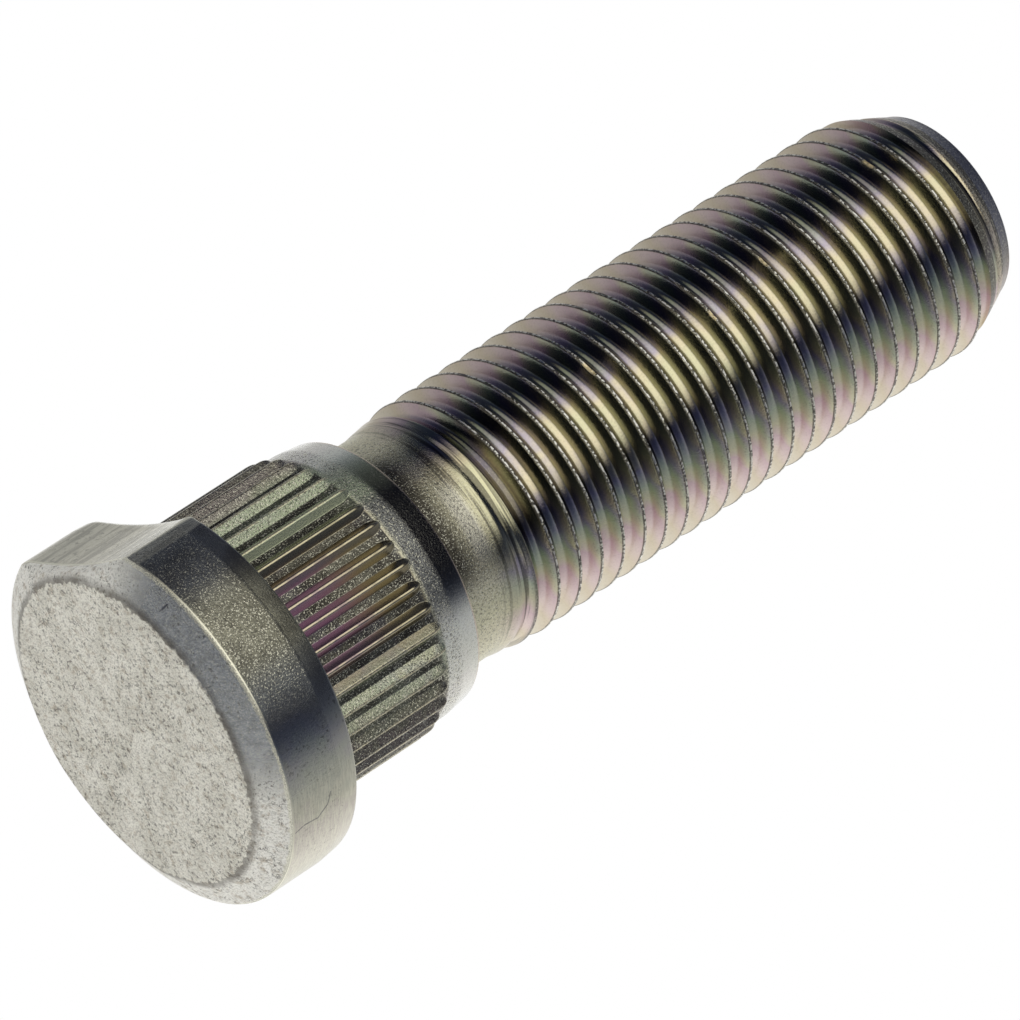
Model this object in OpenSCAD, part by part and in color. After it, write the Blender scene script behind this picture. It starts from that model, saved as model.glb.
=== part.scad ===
// Wheel stud that is pressed into a hub from behind, one forged and rolled piece of steel.
// It stands on its head: the origin is the centre of the head's face, +Z runs to the tip,
// and the trimmed flat on the head's rim faces -Y.

/* [Head] */
// Diameter of the head over its round side
head_d = 20.8; // [19:0.1:24]
// Diameter of the flat face that the stud stands on
face_d = 17.1; // [12:0.1:18]
// Height of the bevel round the face
bevel_h = 1.08; // [0.5:0.01:1.5]
// Height at which the side starts to draw in towards the seat
draft_z = 4.45; // [3:0.05:5]
// How far the side draws in by the seat, on the radius
draft = 0.14; // [0.05:0.01:0.3]
// Height of the whole head, face to seat
head_h = 5.6; // [5.3:0.1:8]
// Distance from the axis to the middle of the trimmed flat
flat_mid = 8.9; // [8.8:0.05:9.2]
// Radius of the shallow hollow in the trimmed flat
flat_hollow_r = 34; // [25:1:60]

/* [Serrated collar] */
// Diameter over the ridges
ridge_d = 16.2; // [16:0.05:17]
// Diameter of the floor between the ridges
floor_d = 15.4; // [15.2:0.05:15.5]
// Number of ridges
ridges = 40; // [30:1:44]
// Width of a ridge's flat top
ridge_top = 0.14; // [0.05:0.01:0.3]
// Width of a ridge at the floor
ridge_foot = 0.78; // [0.5:0.01:0.85]
// Height on the stud at which the ridges start to run out
nose_z = 13.4; // [11:0.05:13.5]
// Length of the round nose at the end of a ridge
nose_l = 0.7; // [0.3:0.05:0.7]
// Turn of the first ridge, in degrees
ridge_turn = 3.5; // [0:0.1:9]
// Diameter of the plain band after the ridges
band_d = 15.6; // [15.52:0.02:15.9]
// Height at which the plain band starts
band_z = 14.15; // [14.15:0.05:14.5]
// Height at which the band starts to taper
taper_z = 15.1; // [14.8:0.05:15.4]
// Height of the collar's end
collar_z = 16.4; // [16:0.05:17]

/* [Thread] */
// Diameter of the plain neck, which is also the blank that the thread is rolled on
neck_d = 13; // [12.9:0.02:13.1]
// Diameter over the crests
crest_d = 13.86; // [13.74:0.02:13.96]
// Diameter at the root
root_d = 12.22; // [12.1:0.02:12.4]
// Pitch of the right-hand thread
pitch = 1.5; // [1.5:0.25:2]
// Height at which the thread starts to rise from the neck
runout_z = 19.2; // [19:0.1:21]
// Length over which the thread grows to its full depth
runout_l = 2.9; // [1.5:0.1:4]
// Height of the first crest on the +X side, which sets the turn of the whole thread
first_crest_z = 17.9; // [17.4:0.05:17.9]
// Height at which the chamfer of the tip starts
chamfer_z = 52.7; // [50:0.1:53]
// Diameter of the flat end at the tip
tip_d = 10.9; // [10:0.1:11.2]
// Length of the whole stud
length = 56.2; // [56:0.1:58]

/* [Hidden] */
$fn = 96;

// Half sizes
head_r = head_d / 2;
face_r = face_d / 2;
floor_r = floor_d / 2;
ridge_h = (ridge_d - floor_d) / 2;
band_r = band_d / 2;
neck_r = neck_d / 2;
crest_r = crest_d / 2;
root_r = root_d / 2;
tip_r = tip_d / 2;

// Small breaks of the hard edges
edge = 0.15;
// Fall of the band's taper, on the radius, and what it falls by the break at its end
taper = 0.2;
taper_at_edge = 0.16;
// Angles of the sections along a ridge's nose
nose_angles = [0, 30, 60, 80];
// The floor starts to rise to the band a little before the noses
rise_l = 0.1;
rise_z = nose_z - rise_l;
// How far pieces run into one another so that they join, and how far a cut runs past the solid
joint = 0.3;
past = 1;
// How far the rolled surface lies under the plain neck and tip where these cover its ends
skin = 0.04;

// Thread form: flanks at 30 degrees, a crest flat of an eighth of the pitch and a root flat
steps = 36;
flank = tan(30);
crest_flat = pitch / 16;
root_reach = crest_flat + (crest_r - root_r) * flank;
// A crest never grows so wide that it meets the roots beside it
crest_margin = 0.08;
widest_crest = root_reach - crest_margin;
// The plain tip starts where the last groove leaves the chamfer, and the thread ends inside it
tip_plain_l = pitch + 0.2;
tip_plain_z = length - tip_plain_l;
end_cover = 0.05;
rows = ceil((tip_plain_z + end_cover - first_crest_z + root_reach) * steps / pitch);

// Eases from 0 to 1
function ease(t) = let (c = max(0, min(1, t))) c * c * (3 - 2 * c);

// Radius of the tip's chamfer at a height
function chamfer_r(z) = crest_r - max(0, z - chamfer_z) * (crest_r - tip_r) / (length - chamfer_z);

// Radius of a rolled surface at a height: the run-out leads it out of the blank and the
// chamfer cuts it off
function rolled_r(full_r, z) =
    let (blank = neck_r - skin, grown = blank + (full_r - blank) * ease((z - runout_z) / runout_l))
    min(grown, chamfer_r(z) - skin);

// Half the width of a crest: a crest that is cut off or not yet full is wider
function crest_half(z) = min(widest_crest, crest_flat + (crest_r - rolled_r(crest_r, z)) * flank);

// One point of the thread at an angle, from its height and the full radius there
function thread_point(angle, z, full_r) =
    let (r = rolled_r(full_r, z)) [r * cos(angle), r * sin(angle), z];

// The four points of the thread's section at a step: root, both edges of the crest, root
function thread_section(j) =
    let (angle = 360 * j / steps, z = first_crest_z + pitch * j / steps, half = crest_half(z))
    [
        thread_point(angle, z - root_reach, root_r),
        thread_point(angle, z - half, crest_r),
        thread_point(angle, z + half, crest_r),
        thread_point(angle, z + root_reach, root_r)
    ];

// Index of a section's point. Point 4 is the first point of the section one turn further on
function at(j, k) = k == 4 ? at(j + steps, 0) : j <= rows ? 4 * j + k : 4 * (rows + 1) + j - rows - 1;

module head() {
    color("silver")
    difference() {
        rotate_extrude()
            polygon([
                [0, 0], [face_r, 0], [head_r, bevel_h], [head_r, draft_z],
                [head_r - draft, head_h - edge], [head_r - draft - edge, head_h], [0, head_h]
            ]);
        translate([0, -flat_mid - flat_hollow_r, -past])
            cylinder(r = flat_hollow_r, h = head_h + 2 * past, $fn = 360);
    }
}

// Round core of the collar with its plain band, and the neck
module collar_and_neck() {
    color("darkgray")
    rotate_extrude()
        polygon([
            [0, head_h - joint], [floor_r, head_h - joint], [floor_r, rise_z], [band_r, band_z],
            [band_r, taper_z], [band_r - taper_at_edge, collar_z - edge],
            [band_r - taper - edge, collar_z], [neck_r, collar_z], [neck_r, runout_z], [0, runout_z]
        ]);
}

// One ridge along +X: its section shrinks as a quarter of an ellipse over the nose
module ridge() {
    slope = (ridge_foot - ridge_top) / 2 / ridge_h;
    nose = [for (a = nose_angles) [nose_z + nose_l * sin(a), cos(a)]];
    sections = concat([[head_h - joint, 1]], nose);
    last = len(sections) - 1;
    points = [
        for (s = sections)
            for (p = [[-joint, -1], [ridge_h, -1], [ridge_h, 1], [-joint, 1]])
                let (height = p[0] > 0 ? p[0] * s[1] : p[0])
                    [floor_r + height, p[1] * (ridge_top / 2 + (ridge_h - p[0]) * slope) * s[1], s[0]]
    ];
    sides = [
        for (i = [0:last - 1])
            for (k = [0:3])
                let (a = 4 * i + k, b = 4 * i + (k + 1) % 4)
                    for (t = [[a, b + 4, b], [a, a + 4, b + 4]]) t
    ];
    ends = [[0, 1, 2, 3], [4 * last + 3, 4 * last + 2, 4 * last + 1, 4 * last]];
    polyhedron(points, concat(sides, ends));
}

module serration() {
    color("gray")
    for (i = [0:ridges - 1])
        rotate(ridge_turn + 360 * i / ridges) ridge();
}

// The rolled thread as one helical surface, closed at both ends by a fan to a point on the axis
module thread() {
    foot = 4 * (rows + 1) + steps;
    points = concat(
        [for (j = [0:rows]) for (p = thread_section(j)) p],
        [for (j = [rows + 1:rows + steps]) thread_section(j)[0]],
        [[0, 0, first_crest_z - pitch], [0, 0, length - skin]]
    );
    surface = [
        for (j = [0:rows - 1])
            for (k = [0:3])
                let (a = at(j, k), b = at(j, k + 1), c = at(j + 1, k + 1), d = at(j + 1, k))
                    for (t = [[a, b, c], [a, c, d]]) t
    ];
    ends = concat(
        [for (j = [0:steps - 1]) [at(j, 0), at(j + 1, 0), foot]],
        [for (k = [0:3]) [at(0, k + 1), at(0, k), foot]],
        [for (j = [rows:rows + steps - 1]) [at(j + 1, 0), at(j, 0), foot + 1]],
        [for (k = [0:3]) [at(rows, k), at(rows, k + 1), foot + 1]]
    );
    color("khaki") polyhedron(points, concat(surface, ends));
}

// Plain end of the tip past the last of the thread
module tip() {
    color("silver")
    rotate_extrude()
        polygon([
            [0, tip_plain_z], [chamfer_r(tip_plain_z), tip_plain_z],
            [chamfer_r(length - edge), length - edge], [tip_r - edge, length], [0, length]
        ]);
}

module wheel_stud() {
    head();
    collar_and_neck();
    serration();
    thread();
    tip();
}

wheel_stud();
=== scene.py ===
from functools import reduce
import bpy
import numpy as np
from mathutils import Matrix, Vector


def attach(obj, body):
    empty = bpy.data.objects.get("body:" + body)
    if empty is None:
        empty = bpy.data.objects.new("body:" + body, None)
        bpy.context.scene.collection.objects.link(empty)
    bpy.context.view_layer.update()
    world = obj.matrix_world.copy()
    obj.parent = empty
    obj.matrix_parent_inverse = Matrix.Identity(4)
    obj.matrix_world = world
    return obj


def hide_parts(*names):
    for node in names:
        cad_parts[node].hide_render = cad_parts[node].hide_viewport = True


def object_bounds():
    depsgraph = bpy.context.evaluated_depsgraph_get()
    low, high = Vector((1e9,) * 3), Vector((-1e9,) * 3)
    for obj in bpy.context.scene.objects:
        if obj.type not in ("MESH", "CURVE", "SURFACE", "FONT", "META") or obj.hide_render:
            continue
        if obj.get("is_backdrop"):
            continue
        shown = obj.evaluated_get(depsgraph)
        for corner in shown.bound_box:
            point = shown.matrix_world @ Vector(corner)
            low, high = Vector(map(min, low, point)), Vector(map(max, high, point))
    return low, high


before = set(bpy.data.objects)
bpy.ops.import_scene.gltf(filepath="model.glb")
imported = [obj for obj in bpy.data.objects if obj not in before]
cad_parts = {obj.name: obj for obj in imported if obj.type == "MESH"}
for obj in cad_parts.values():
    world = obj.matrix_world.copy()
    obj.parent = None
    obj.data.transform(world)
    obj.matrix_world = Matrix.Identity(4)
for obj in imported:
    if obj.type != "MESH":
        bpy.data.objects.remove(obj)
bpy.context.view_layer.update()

mm = 0.001
deg = np.pi / 180
rng = np.random.default_rng(7)


def ease(t):  # 0 to 1, flat at both ends
    c = np.clip(t, 0, 1)
    return c * c * (3 - 2 * c)


def apart(angle, place):  # difference of two angles, the short way round, in degrees
    return np.angle(np.exp(1j * (angle - place * deg))) / deg


# Slow unevenness round the axis: a few sine waves of whole numbers, each with its own phase
def wander(angle, size, waves, seed):
    phases = np.random.default_rng(seed).uniform(0, 2 * np.pi, len(waves))
    return size * sum(np.sin(w * angle + p) for w, p in zip(waves, phases)) / len(waves)


# Each piece's sizes are in mm and its angles in degrees, and they are those of the solids
head = {
    "radius": 10.395, "face": 8.55, "bevelHeight": 1.08, "sideTop": 4.45, "draft": 0.14, "height": 5.6,
    "flatMiddle": 8.9, "hollowRadius": 34.0, "cornerRound": 0.12, "worn": -117.0, "wornSpread": 13.0,
    "wornRound": 0.55, "rimWander": 0.08, "backRound": 0.17, "flatBackRound": 0.4, "notch": (66.0, 0.14, 3.0),
}
collar = {
    "ridges": 40, "firstRidge": 3.5, "ridgeTop": 8.1, "floor": 7.7, "noseStart": 13.32,
    "noseLength": 0.7, "noseWander": 0.1, "heightWander": 0.02, "band": 7.8, "bandStart": 14.15,
    "taperStart": 15.1, "taperEnd": 7.64, "end": 16.4, "endRound": 0.14, "fillet": 0.1, "seatEdge": 0.15,
    "early": 0.1,  # the floor starts to rise this much before the noses
    # places across a ridge, and how much of the ridge's height is reached there
    "across": (-4.5, -3.2, -2.75, -0.8, -0.35, 0.35, 0.8, 2.75, 3.2),
    "lift": (0.0, 0.0, 0.06, 0.88, 1.0, 1.0, 0.88, 0.06, 0.0),
}
thread = {
    "neck": 6.5, "crest": 6.93, "root": 6.11, "rootRound": 0.4515, "flank": 25.0, "pitch": 1.5,
    "firstCrest": 17.9, "crestHalf": 0.094, "swellStart": 19.1, "swell": 0.13, "swellEnd": 20.2,
    "grooveStart": 19.9, "grooveFull": 22.1, "grooveEnd": 54.8, "helixEnd": 55.4,
    "chamferStart": 52.7, "tip": 5.45, "length": 56.2, "tipEdge": 0.22, "stepsPerTurn": 180,
    "crestSeam": 0.05, "chamferCurve": 1.12, "halvedAt": 17.0, "wearStart": 20.6, "wearFull": 21.8,
    # small nicks on the crests: azimuth, height, length along the crest, depth. They share a height
    "nickHeight": 0.25,
    "nicks": [(-41.3, 29.7, 0.75, 0.14), (-31.1, 37.3, 0.3, 0.08), (-38.8, 41.78, 0.4, 0.1),
              (-50.9, 50.69, 0.5, 0.06)],
}

around = 360  # steps of a ring, one for each degree
perRidge = around // collar["ridges"]
ridgeCentres = collar["firstRidge"] + perRidge * np.arange(collar["ridges"])
evenAngles = (ridgeCentres[:, None] + np.arange(perRidge)[None, :] - perRidge / 2).ravel() * deg

print("stage: profile of the head")


# Distance from the axis to the trimmed flat: where a ray meets the hollow cylinder's near wall
def flatRadius(angle):
    centre = head["flatMiddle"] + head["hollowRadius"]
    c = np.cos(angle + np.pi / 2)
    inside = (centre * c) ** 2 - centre ** 2 + head["hollowRadius"] ** 2
    hit = centre * c - np.sqrt(np.maximum(inside, 0))
    return np.where((inside > 0) & (c > 0), hit, 99.0)


# The smaller of two, with the corner between them rounded over a width
def softMin(a, b, width):
    gap = np.clip(0.5 + 0.5 * (b - a) / width, 0, 1)
    return b + (a - b) * gap - width * gap * (1 - gap)


# Rings of the head: face, bevel and side from a rounded profile, each cut by the trimmed flat
def headRows():
    angle = evenAngles.copy()
    sweep = np.linspace(0, 40, 801)
    corner = np.interp(head["radius"], flatRadius(sweep * deg - np.pi / 2), sweep)
    for side in (-1, 1):  # one step of the ring is moved onto each corner of the flat
        nearest = np.argmin(np.abs(apart(angle, -90 + side * corner)))
        angle[nearest] -= apart(angle[nearest], -90 + side * corner) * deg
    radius, height, bevel = head["radius"], head["height"], head["bevelHeight"]
    flat = flatRadius(angle)
    worn = np.exp(-(apart(angle, head["worn"]) / head["wornSpread"]) ** 2)
    width = head["cornerRound"] + (head["wornRound"] - head["cornerRound"]) * worn
    face = head["face"] + wander(angle, head["rimWander"], [2, 3, 5, 8, 13], 3)
    rows = []
    for share in (0.3, 0.6, 0.85, 0.96):  # flat face
        rows.append((angle, face * share, 0.0))
    for outset, lift in ((-0.12, 0.004), (0.0, 0.025), (0.12, 0.085)):  # soft edge into the bevel
        rows.append((angle, softMin(face + outset, flat, width), lift))
    for share in (0.3, 0.6, 0.88):  # bevel
        r = face + (radius - face) * share
        rows.append((angle, softMin(r, flat, width), (r - face) * bevel / (radius - face)))
    for inset, lift in ((0.1, -0.04), (0.045, 0.015), (0.012, 0.075), (0, 0.15)):  # outer edge
        rows.append((angle, softMin(radius - inset, flat, width), bevel + lift))
    for z in (1.7, 2.6, 3.5, head["sideTop"] - 0.1):  # round side
        rows.append((angle, softMin(radius, flat, width), z))
    onFlat = ease((radius - flat) / 0.5)
    back = head["backRound"] + (head["flatBackRound"] - head["backRound"]) * np.maximum(onFlat, worn)
    rim = height - back
    for share in (0.08, 0.5, 1.0):  # the side draws in
        z = head["sideTop"] + (rim - head["sideTop"]) * share
        r = radius - head["draft"] * (z - head["sideTop"]) / (height - head["sideTop"])
        rows.append((angle, softMin(r, flat, width), z))
    place, depth, spread = head["notch"]
    outer = rows[-1][1] - depth * np.exp(-(apart(angle, place) / spread) ** 2)
    for turn in (30, 60, 90):  # rounded back edge
        rows.append((angle, outer - back * (1 - np.cos(turn * deg)), rim + back * np.sin(turn * deg)))
    return rows, outer - back


# Rings of the seat, the ridged collar, its band and taper. A ridge's section is a trapezium with small
# breaks. Over its nose the height and the width fall as a quarter of an ellipse
def collarRows(seatEdge):
    rows = []
    low, high, seat = collar["floor"], collar["ridgeTop"], head["height"]
    across, lift = np.array(collar["across"]), np.tile(collar["lift"], collar["ridges"])

    def ridgeAngles(width):  # the places across the ridges, drawn together to a share of the width
        inner = np.sign(across) * np.where(np.abs(across) < 3, np.abs(across) * width, 2.75 * width + 0.45)
        return (ridgeCentres[:, None] + np.where(np.abs(across) > 4, across, inner)).ravel() * deg

    full = ridgeAngles(1.0)
    for share in (0.7, 0.4, 0.15):  # flat seat, the steps sliding over to those of the ridges
        r = high + collar["seatEdge"] + (seatEdge - high - collar["seatEdge"]) * share
        rows.append((full + (evenAngles - full) * share, r, seat))
    nose = np.repeat(rng.uniform(-1, 1, collar["ridges"]) * collar["noseWander"], perRidge)
    lower = np.repeat(rng.uniform(0, collar["heightWander"], collar["ridges"]), perRidge)
    height = (high - low - lower) * lift
    foot = seat + 0.14
    rows.append((full, low + height + 0.12 * (1 - lift), seat))  # fillet at the ridges' foot
    rows.append((full, low + height + 0.03 * (1 - lift), seat + 0.04 + 0.02 * lift))
    rows.append((full, low + height, foot))
    start = collar["noseStart"] + nose
    for share in (0.12, 0.4, 0.7):
        rows.append((full, low + height, foot + (start - foot) * share))
    rise = collar["bandStart"] - collar["noseStart"] + collar["early"]
    for turn in (0, 15, 30, 45, 58, 70, 80, 88):  # noses
        z = start + collar["noseLength"] * np.sin(turn * deg)
        floor = low + (collar["band"] - low) * ease((z - collar["noseStart"] + collar["early"]) / rise)
        top = low + height * np.cos(turn * deg) ** 0.8
        rows.append((ridgeAngles(max(0.12, np.cos(turn * deg))), np.maximum(floor, top), z))
    band, taper, end = collar["band"], collar["taperStart"], collar["end"]
    for share, z, r in ((0.5, collar["bandStart"] + 0.17, band), (1, taper - 0.08, band),
                        (1, taper + 0.12, band - 0.015), (1, 15.8, collar["taperEnd"] + 0.06)):
        rows.append((full + (evenAngles - full) * share, r, z))
    b, fillet, neck = collar["endRound"], collar["fillet"], thread["neck"]
    for turn in (0, 30, 60, 90):  # rounded end
        r = collar["taperEnd"] - b * (1 - np.cos(turn * deg))
        rows.append((evenAngles, r, end - b + b * np.sin(turn * deg)))
    for share in (0.7, 0.3):  # end face
        rows.append((evenAngles, neck + fillet + (collar["taperEnd"] - b - neck - fillet) * share, end))
    for turn in (0, 45, 90):  # small fillet into the neck
        r = neck + fillet * (1 - np.sin(turn * deg))
        rows.append((evenAngles, r, end + fillet * (1 - np.cos(turn * deg))))
    rows.append((evenAngles, neck, end + 0.35))
    return rows


print("stage: profile of the thread")


# Radius of the tip's chamfer: it falls from the crest to the tip, a little rounded
def chamferRadius(z):
    t = np.clip((z - thread["chamferStart"]) / (thread["length"] - thread["chamferStart"]), 0, 1)
    return thread["crest"] - (thread["crest"] - thread["tip"]) * t ** thread["chamferCurve"]


# Radius of the rolled surface: the neck swells a little, then the thread eases out of the swell, and
# the tip's chamfer cuts it off
def rolledRadius(full, z):
    swell = ease((z - thread["swellStart"]) / (thread["swellEnd"] - thread["swellStart"]))
    blank = thread["neck"] + thread["swell"] * swell
    share = ease((z - thread["grooveStart"]) / (thread["grooveFull"] - thread["grooveStart"]))
    return np.minimum(blank + (full - blank) * share, chamferRadius(z))


# Heights and full radii of the points of one pitch, from root middle to root middle: round root,
# straight flank, crest, and the same mirrored. Where the crest isn't full yet, it is wider, with the
# seam of the rolling along its middle. z is the crest's height
def threadSection(z):
    pitch, bend, a = thread["pitch"], thread["rootRound"], thread["flank"] * deg
    missing = thread["crest"] - rolledRadius(thread["crest"], z)
    half = np.minimum(thread["crestHalf"] + missing * np.tan(a), 0.5 * pitch - bend * np.cos(a) - 0.02)
    one = np.ones_like(z)
    left = [(-0.5 * pitch * one, thread["root"] * one)]
    for share in (0.2, 0.45, 0.72, 1.0):
        turn = share * (90 * deg - a)
        left.append(((-0.5 * pitch + bend * np.sin(turn)) * one, (thread["root"] + bend * (1 - np.cos(turn))) * one))
    footV, footR = left[-1]
    left.append((footV + (-half - footV) * 0.92, footR + (thread["crest"] - 0.03 - footR) * 0.92))
    left.append((-half, (thread["crest"] - 0.03) * one))
    seam = ease((half - thread["crestHalf"]) / 0.1)
    top = [(-0.65 * half, thread["crest"] - 0.012 * (1 - seam)),
           (0 * one, thread["crest"] - 0.004 - thread["crestSeam"] * seam),
           (0.65 * half, thread["crest"] * one)]
    points = left + top + [(-v, r) for v, r in reversed(left[1:])]
    return np.stack([p[0] for p in points], -1), np.stack([p[1] for p in points], -1)


# The helix: each step of the turn lifts the section by a share of the pitch
def threadGrid():
    steps, pitch = thread["stepsPerTurn"], thread["pitch"]
    count = int(np.ceil((thread["grooveEnd"] + pitch / 2 - thread["firstCrest"]) * steps / pitch))
    angle = evenAngles[0] + 2 * np.pi * np.arange(count + steps + 1) / steps
    crestZ = thread["firstCrest"] + pitch * angle / (2 * np.pi)
    v, full = threadSection(crestZ)
    z = crestZ[:, None] + v
    past, room = np.maximum(z - thread["grooveEnd"], 0), thread["helixEnd"] - thread["grooveEnd"]
    z = z - past + room * (1 - np.exp(-past / room))  # past its last groove the helix is drawn together
    r = rolledRadius(full, z)
    for place, height, length, depth in thread["nicks"]:
        far = apart(angle, place)[:, None] * deg * thread["crest"] / length
        near = np.exp(-(far ** 2 + ((z - height) / thread["nickHeight"]) ** 2) * 2)
        r = r - depth * near * np.clip((full - thread["root"]) / 0.7, 0, 1)
    return angle, r, z, count


print("stage: mesh of the stud")
points, floors, crests, quads, triangles = [], [], [], [], []
total = 0
kindFace, kindHead, kindCollar, kindThread = range(4)


# Points at angle, radius and height, with the two attributes that the finish reads
def addRing(angle, r, z, floor=0.0, crest=0.0):
    global total
    angle, r, z, floor, crest = (a.ravel() for a in np.broadcast_arrays(angle, r, z, floor, crest))
    points.append(np.stack([r * np.cos(angle), r * np.sin(angle), z], -1))
    floors.append(floor)
    crests.append(crest)
    index = total + np.arange(len(r))
    total += len(index)
    return index


def addFaces(kind, *corners):  # one array of indexes for each corner
    group = triangles if len(corners) == 3 else quads
    group.append(np.column_stack([*np.broadcast_arrays(*corners), np.full(np.shape(corners[0]), kind)]))


def bridge(kind, a, b):  # the faces between two rings
    addFaces(kind, a, np.roll(a, -1), np.roll(b, -1), b)


rowsHead, seatEdge = headRows()
rowsCollar = collarRows(seatEdge)
pole = addRing(0.0, 0.0, 0.0)
between = np.tile(np.abs(collar["across"]) > 3, collar["ridges"])
onRidge = np.tile(np.abs(collar["across"]) < 0.5, collar["ridges"])
rings = []
for i, (angle, r, z) in enumerate(rowsHead + rowsCollar):
    onFloor = (i > len(rowsHead) + 2) & (z < collar["noseStart"] + 0.5) & between
    onTop = (i > len(rowsHead) + 3) & (r > collar["band"] + 0.12) & onRidge
    rings.append(addRing(angle, r, z, onFloor.astype(float), onTop.astype(float)))
addFaces(kindFace, np.repeat(pole, around), np.roll(rings[0], -1), rings[0])
edgeRow, seatRow = 12, len(rowsHead) + 2  # the bevel's outer edge, and the last ring of the seat
for i in range(len(rings) - 1):
    bridge(kindFace if i < edgeRow else kindHead if i < seatRow else kindCollar, rings[i], rings[i + 1])

# two steps of the neck become one of the thread
base = rings[-1]
low = addRing(evenAngles[::2], thread["neck"], thread["halvedAt"])
f0, f1, f2 = base[::2], base[1::2], np.roll(base[::2], -1)
for corners in ((f0, f1, low), (f1, np.roll(low, -1), low), (f1, f2, np.roll(low, -1))):
    addFaces(kindThread, *corners)

angle, r, z, count = threadGrid()
steps, n = thread["stepsPerTurn"], r.shape[1]
onCrest = np.zeros(n)
onCrest[6:n - 5] = (0.5, 0.6, 1, 1, 0.5)  # the tip's half of a crest is worn, with painted glints where it is most worn
grooveShade = np.zeros(n)  # painted shade on the groove's side towards the head, which hardly sees light
grooveShade[-5:] = (0.6, 0.7, 0.9, 1, 1)
grooveShade[0] = 0.2
full = ease((z[:count + 1] - thread["wearStart"]) / (thread["wearFull"] - thread["wearStart"]))
main = addRing(angle[:count + 1, None], r[:count + 1], z[:count + 1], grooveShade * full, onCrest * full)
main = main.reshape(-1, n)
extra = addRing(angle[count + 1:], r[count + 1:, 0], z[count + 1:, 0])
firstColumn = np.concatenate([main[:, 0], extra])
grid = np.concatenate([main, firstColumn[steps:steps + count + 1, None]], 1)
addFaces(kindThread, *[g.ravel() for g in (grid[:-1, :-1], grid[1:, :-1], grid[1:, 1:], grid[:-1, 1:])])

start, column = firstColumn[:steps + 1], grid[0]  # the helix starts on the neck's ring
addFaces(kindThread, low[:-1], low[1:], start[1:steps], start[:steps - 1])
addFaces(kindThread, low[-1:], low[:1], column[:1], start[steps - 1:steps])
addFaces(kindThread, np.repeat(start[steps - 1], n), column[:-1], column[1:])

end, column = firstColumn[count:count + steps + 1], grid[count]  # and ends on a ring of the chamfer
endZ = thread["helixEnd"] + 0.08
ringAngles = angle[count:count + steps]
topRing = addRing(ringAngles, chamferRadius(endZ), endZ)
nextTop = np.roll(topRing, -1)
addFaces(kindThread, end[1:-1], end[2:], nextTop[1:], topRing[1:])
addFaces(kindThread, column[:-1], np.repeat(end[1], n), column[1:])
addFaces(kindThread, column[n:], end[1:2], nextTop[:1], topRing[:1])

length, tipEdge = thread["length"], thread["tipEdge"]
last = topRing
for turn in (0, 22, 45, 67, 90):  # round edge of the end, then its flat
    edge = chamferRadius(length - tipEdge) - tipEdge * (1 - np.cos(turn * deg))
    ring = addRing(ringAngles, edge, length - tipEdge * (1 - np.sin(turn * deg)))
    bridge(kindThread, last, ring)
    last = ring
for share in (0.7, 0.35):
    ring = addRing(ringAngles, edge * share, length)
    bridge(kindThread, last, ring)
    last = ring
endPole = addRing(0.0, 0.0, length)
addFaces(kindThread, last, np.roll(last, -1), np.repeat(endPole, steps))

places = np.concatenate(points)
quads, triangles = np.concatenate(quads), np.concatenate(triangles)
mesh = bpy.data.meshes.new("platedStud")
mesh.from_pydata(places * mm, [], quads[:, :4].tolist() + triangles[:, :3].tolist())
kinds = np.concatenate([quads[:, 4], triangles[:, 3]])
mesh.polygons.foreach_set("material_index", kinds.astype(np.int32))
mesh.polygons.foreach_set("use_smooth", np.ones(len(kinds), bool))
for name, values in (("floor", floors), ("crest", crests)):
    data = mesh.attributes.new(name, "FLOAT", "POINT").data
    data.foreach_set("value", np.concatenate(values).astype(np.float32))
mesh.update()

# A point's normal is the sum of its faces' normals by their area, which keeps small breaks crisp
normals = np.zeros_like(places)
for corners in (quads[:, :4], triangles[:, :3]):
    p = places[corners]
    area = np.cross(p[:, 2] - p[:, 0], p[:, -1] - p[:, 1])
    for k in range(corners.shape[1]):
        for axis in range(3):
            normals[:, axis] += np.bincount(corners[:, k], area[:, axis], total)
normals /= np.linalg.norm(normals, axis=1)[:, None]
mesh.normals_split_custom_set_from_vertices(normals)
stud = bpy.data.objects.new("platedStud", mesh)
bpy.context.scene.collection.objects.link(stud)
print("triangles", 2 * len(quads) + len(triangles))

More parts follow.
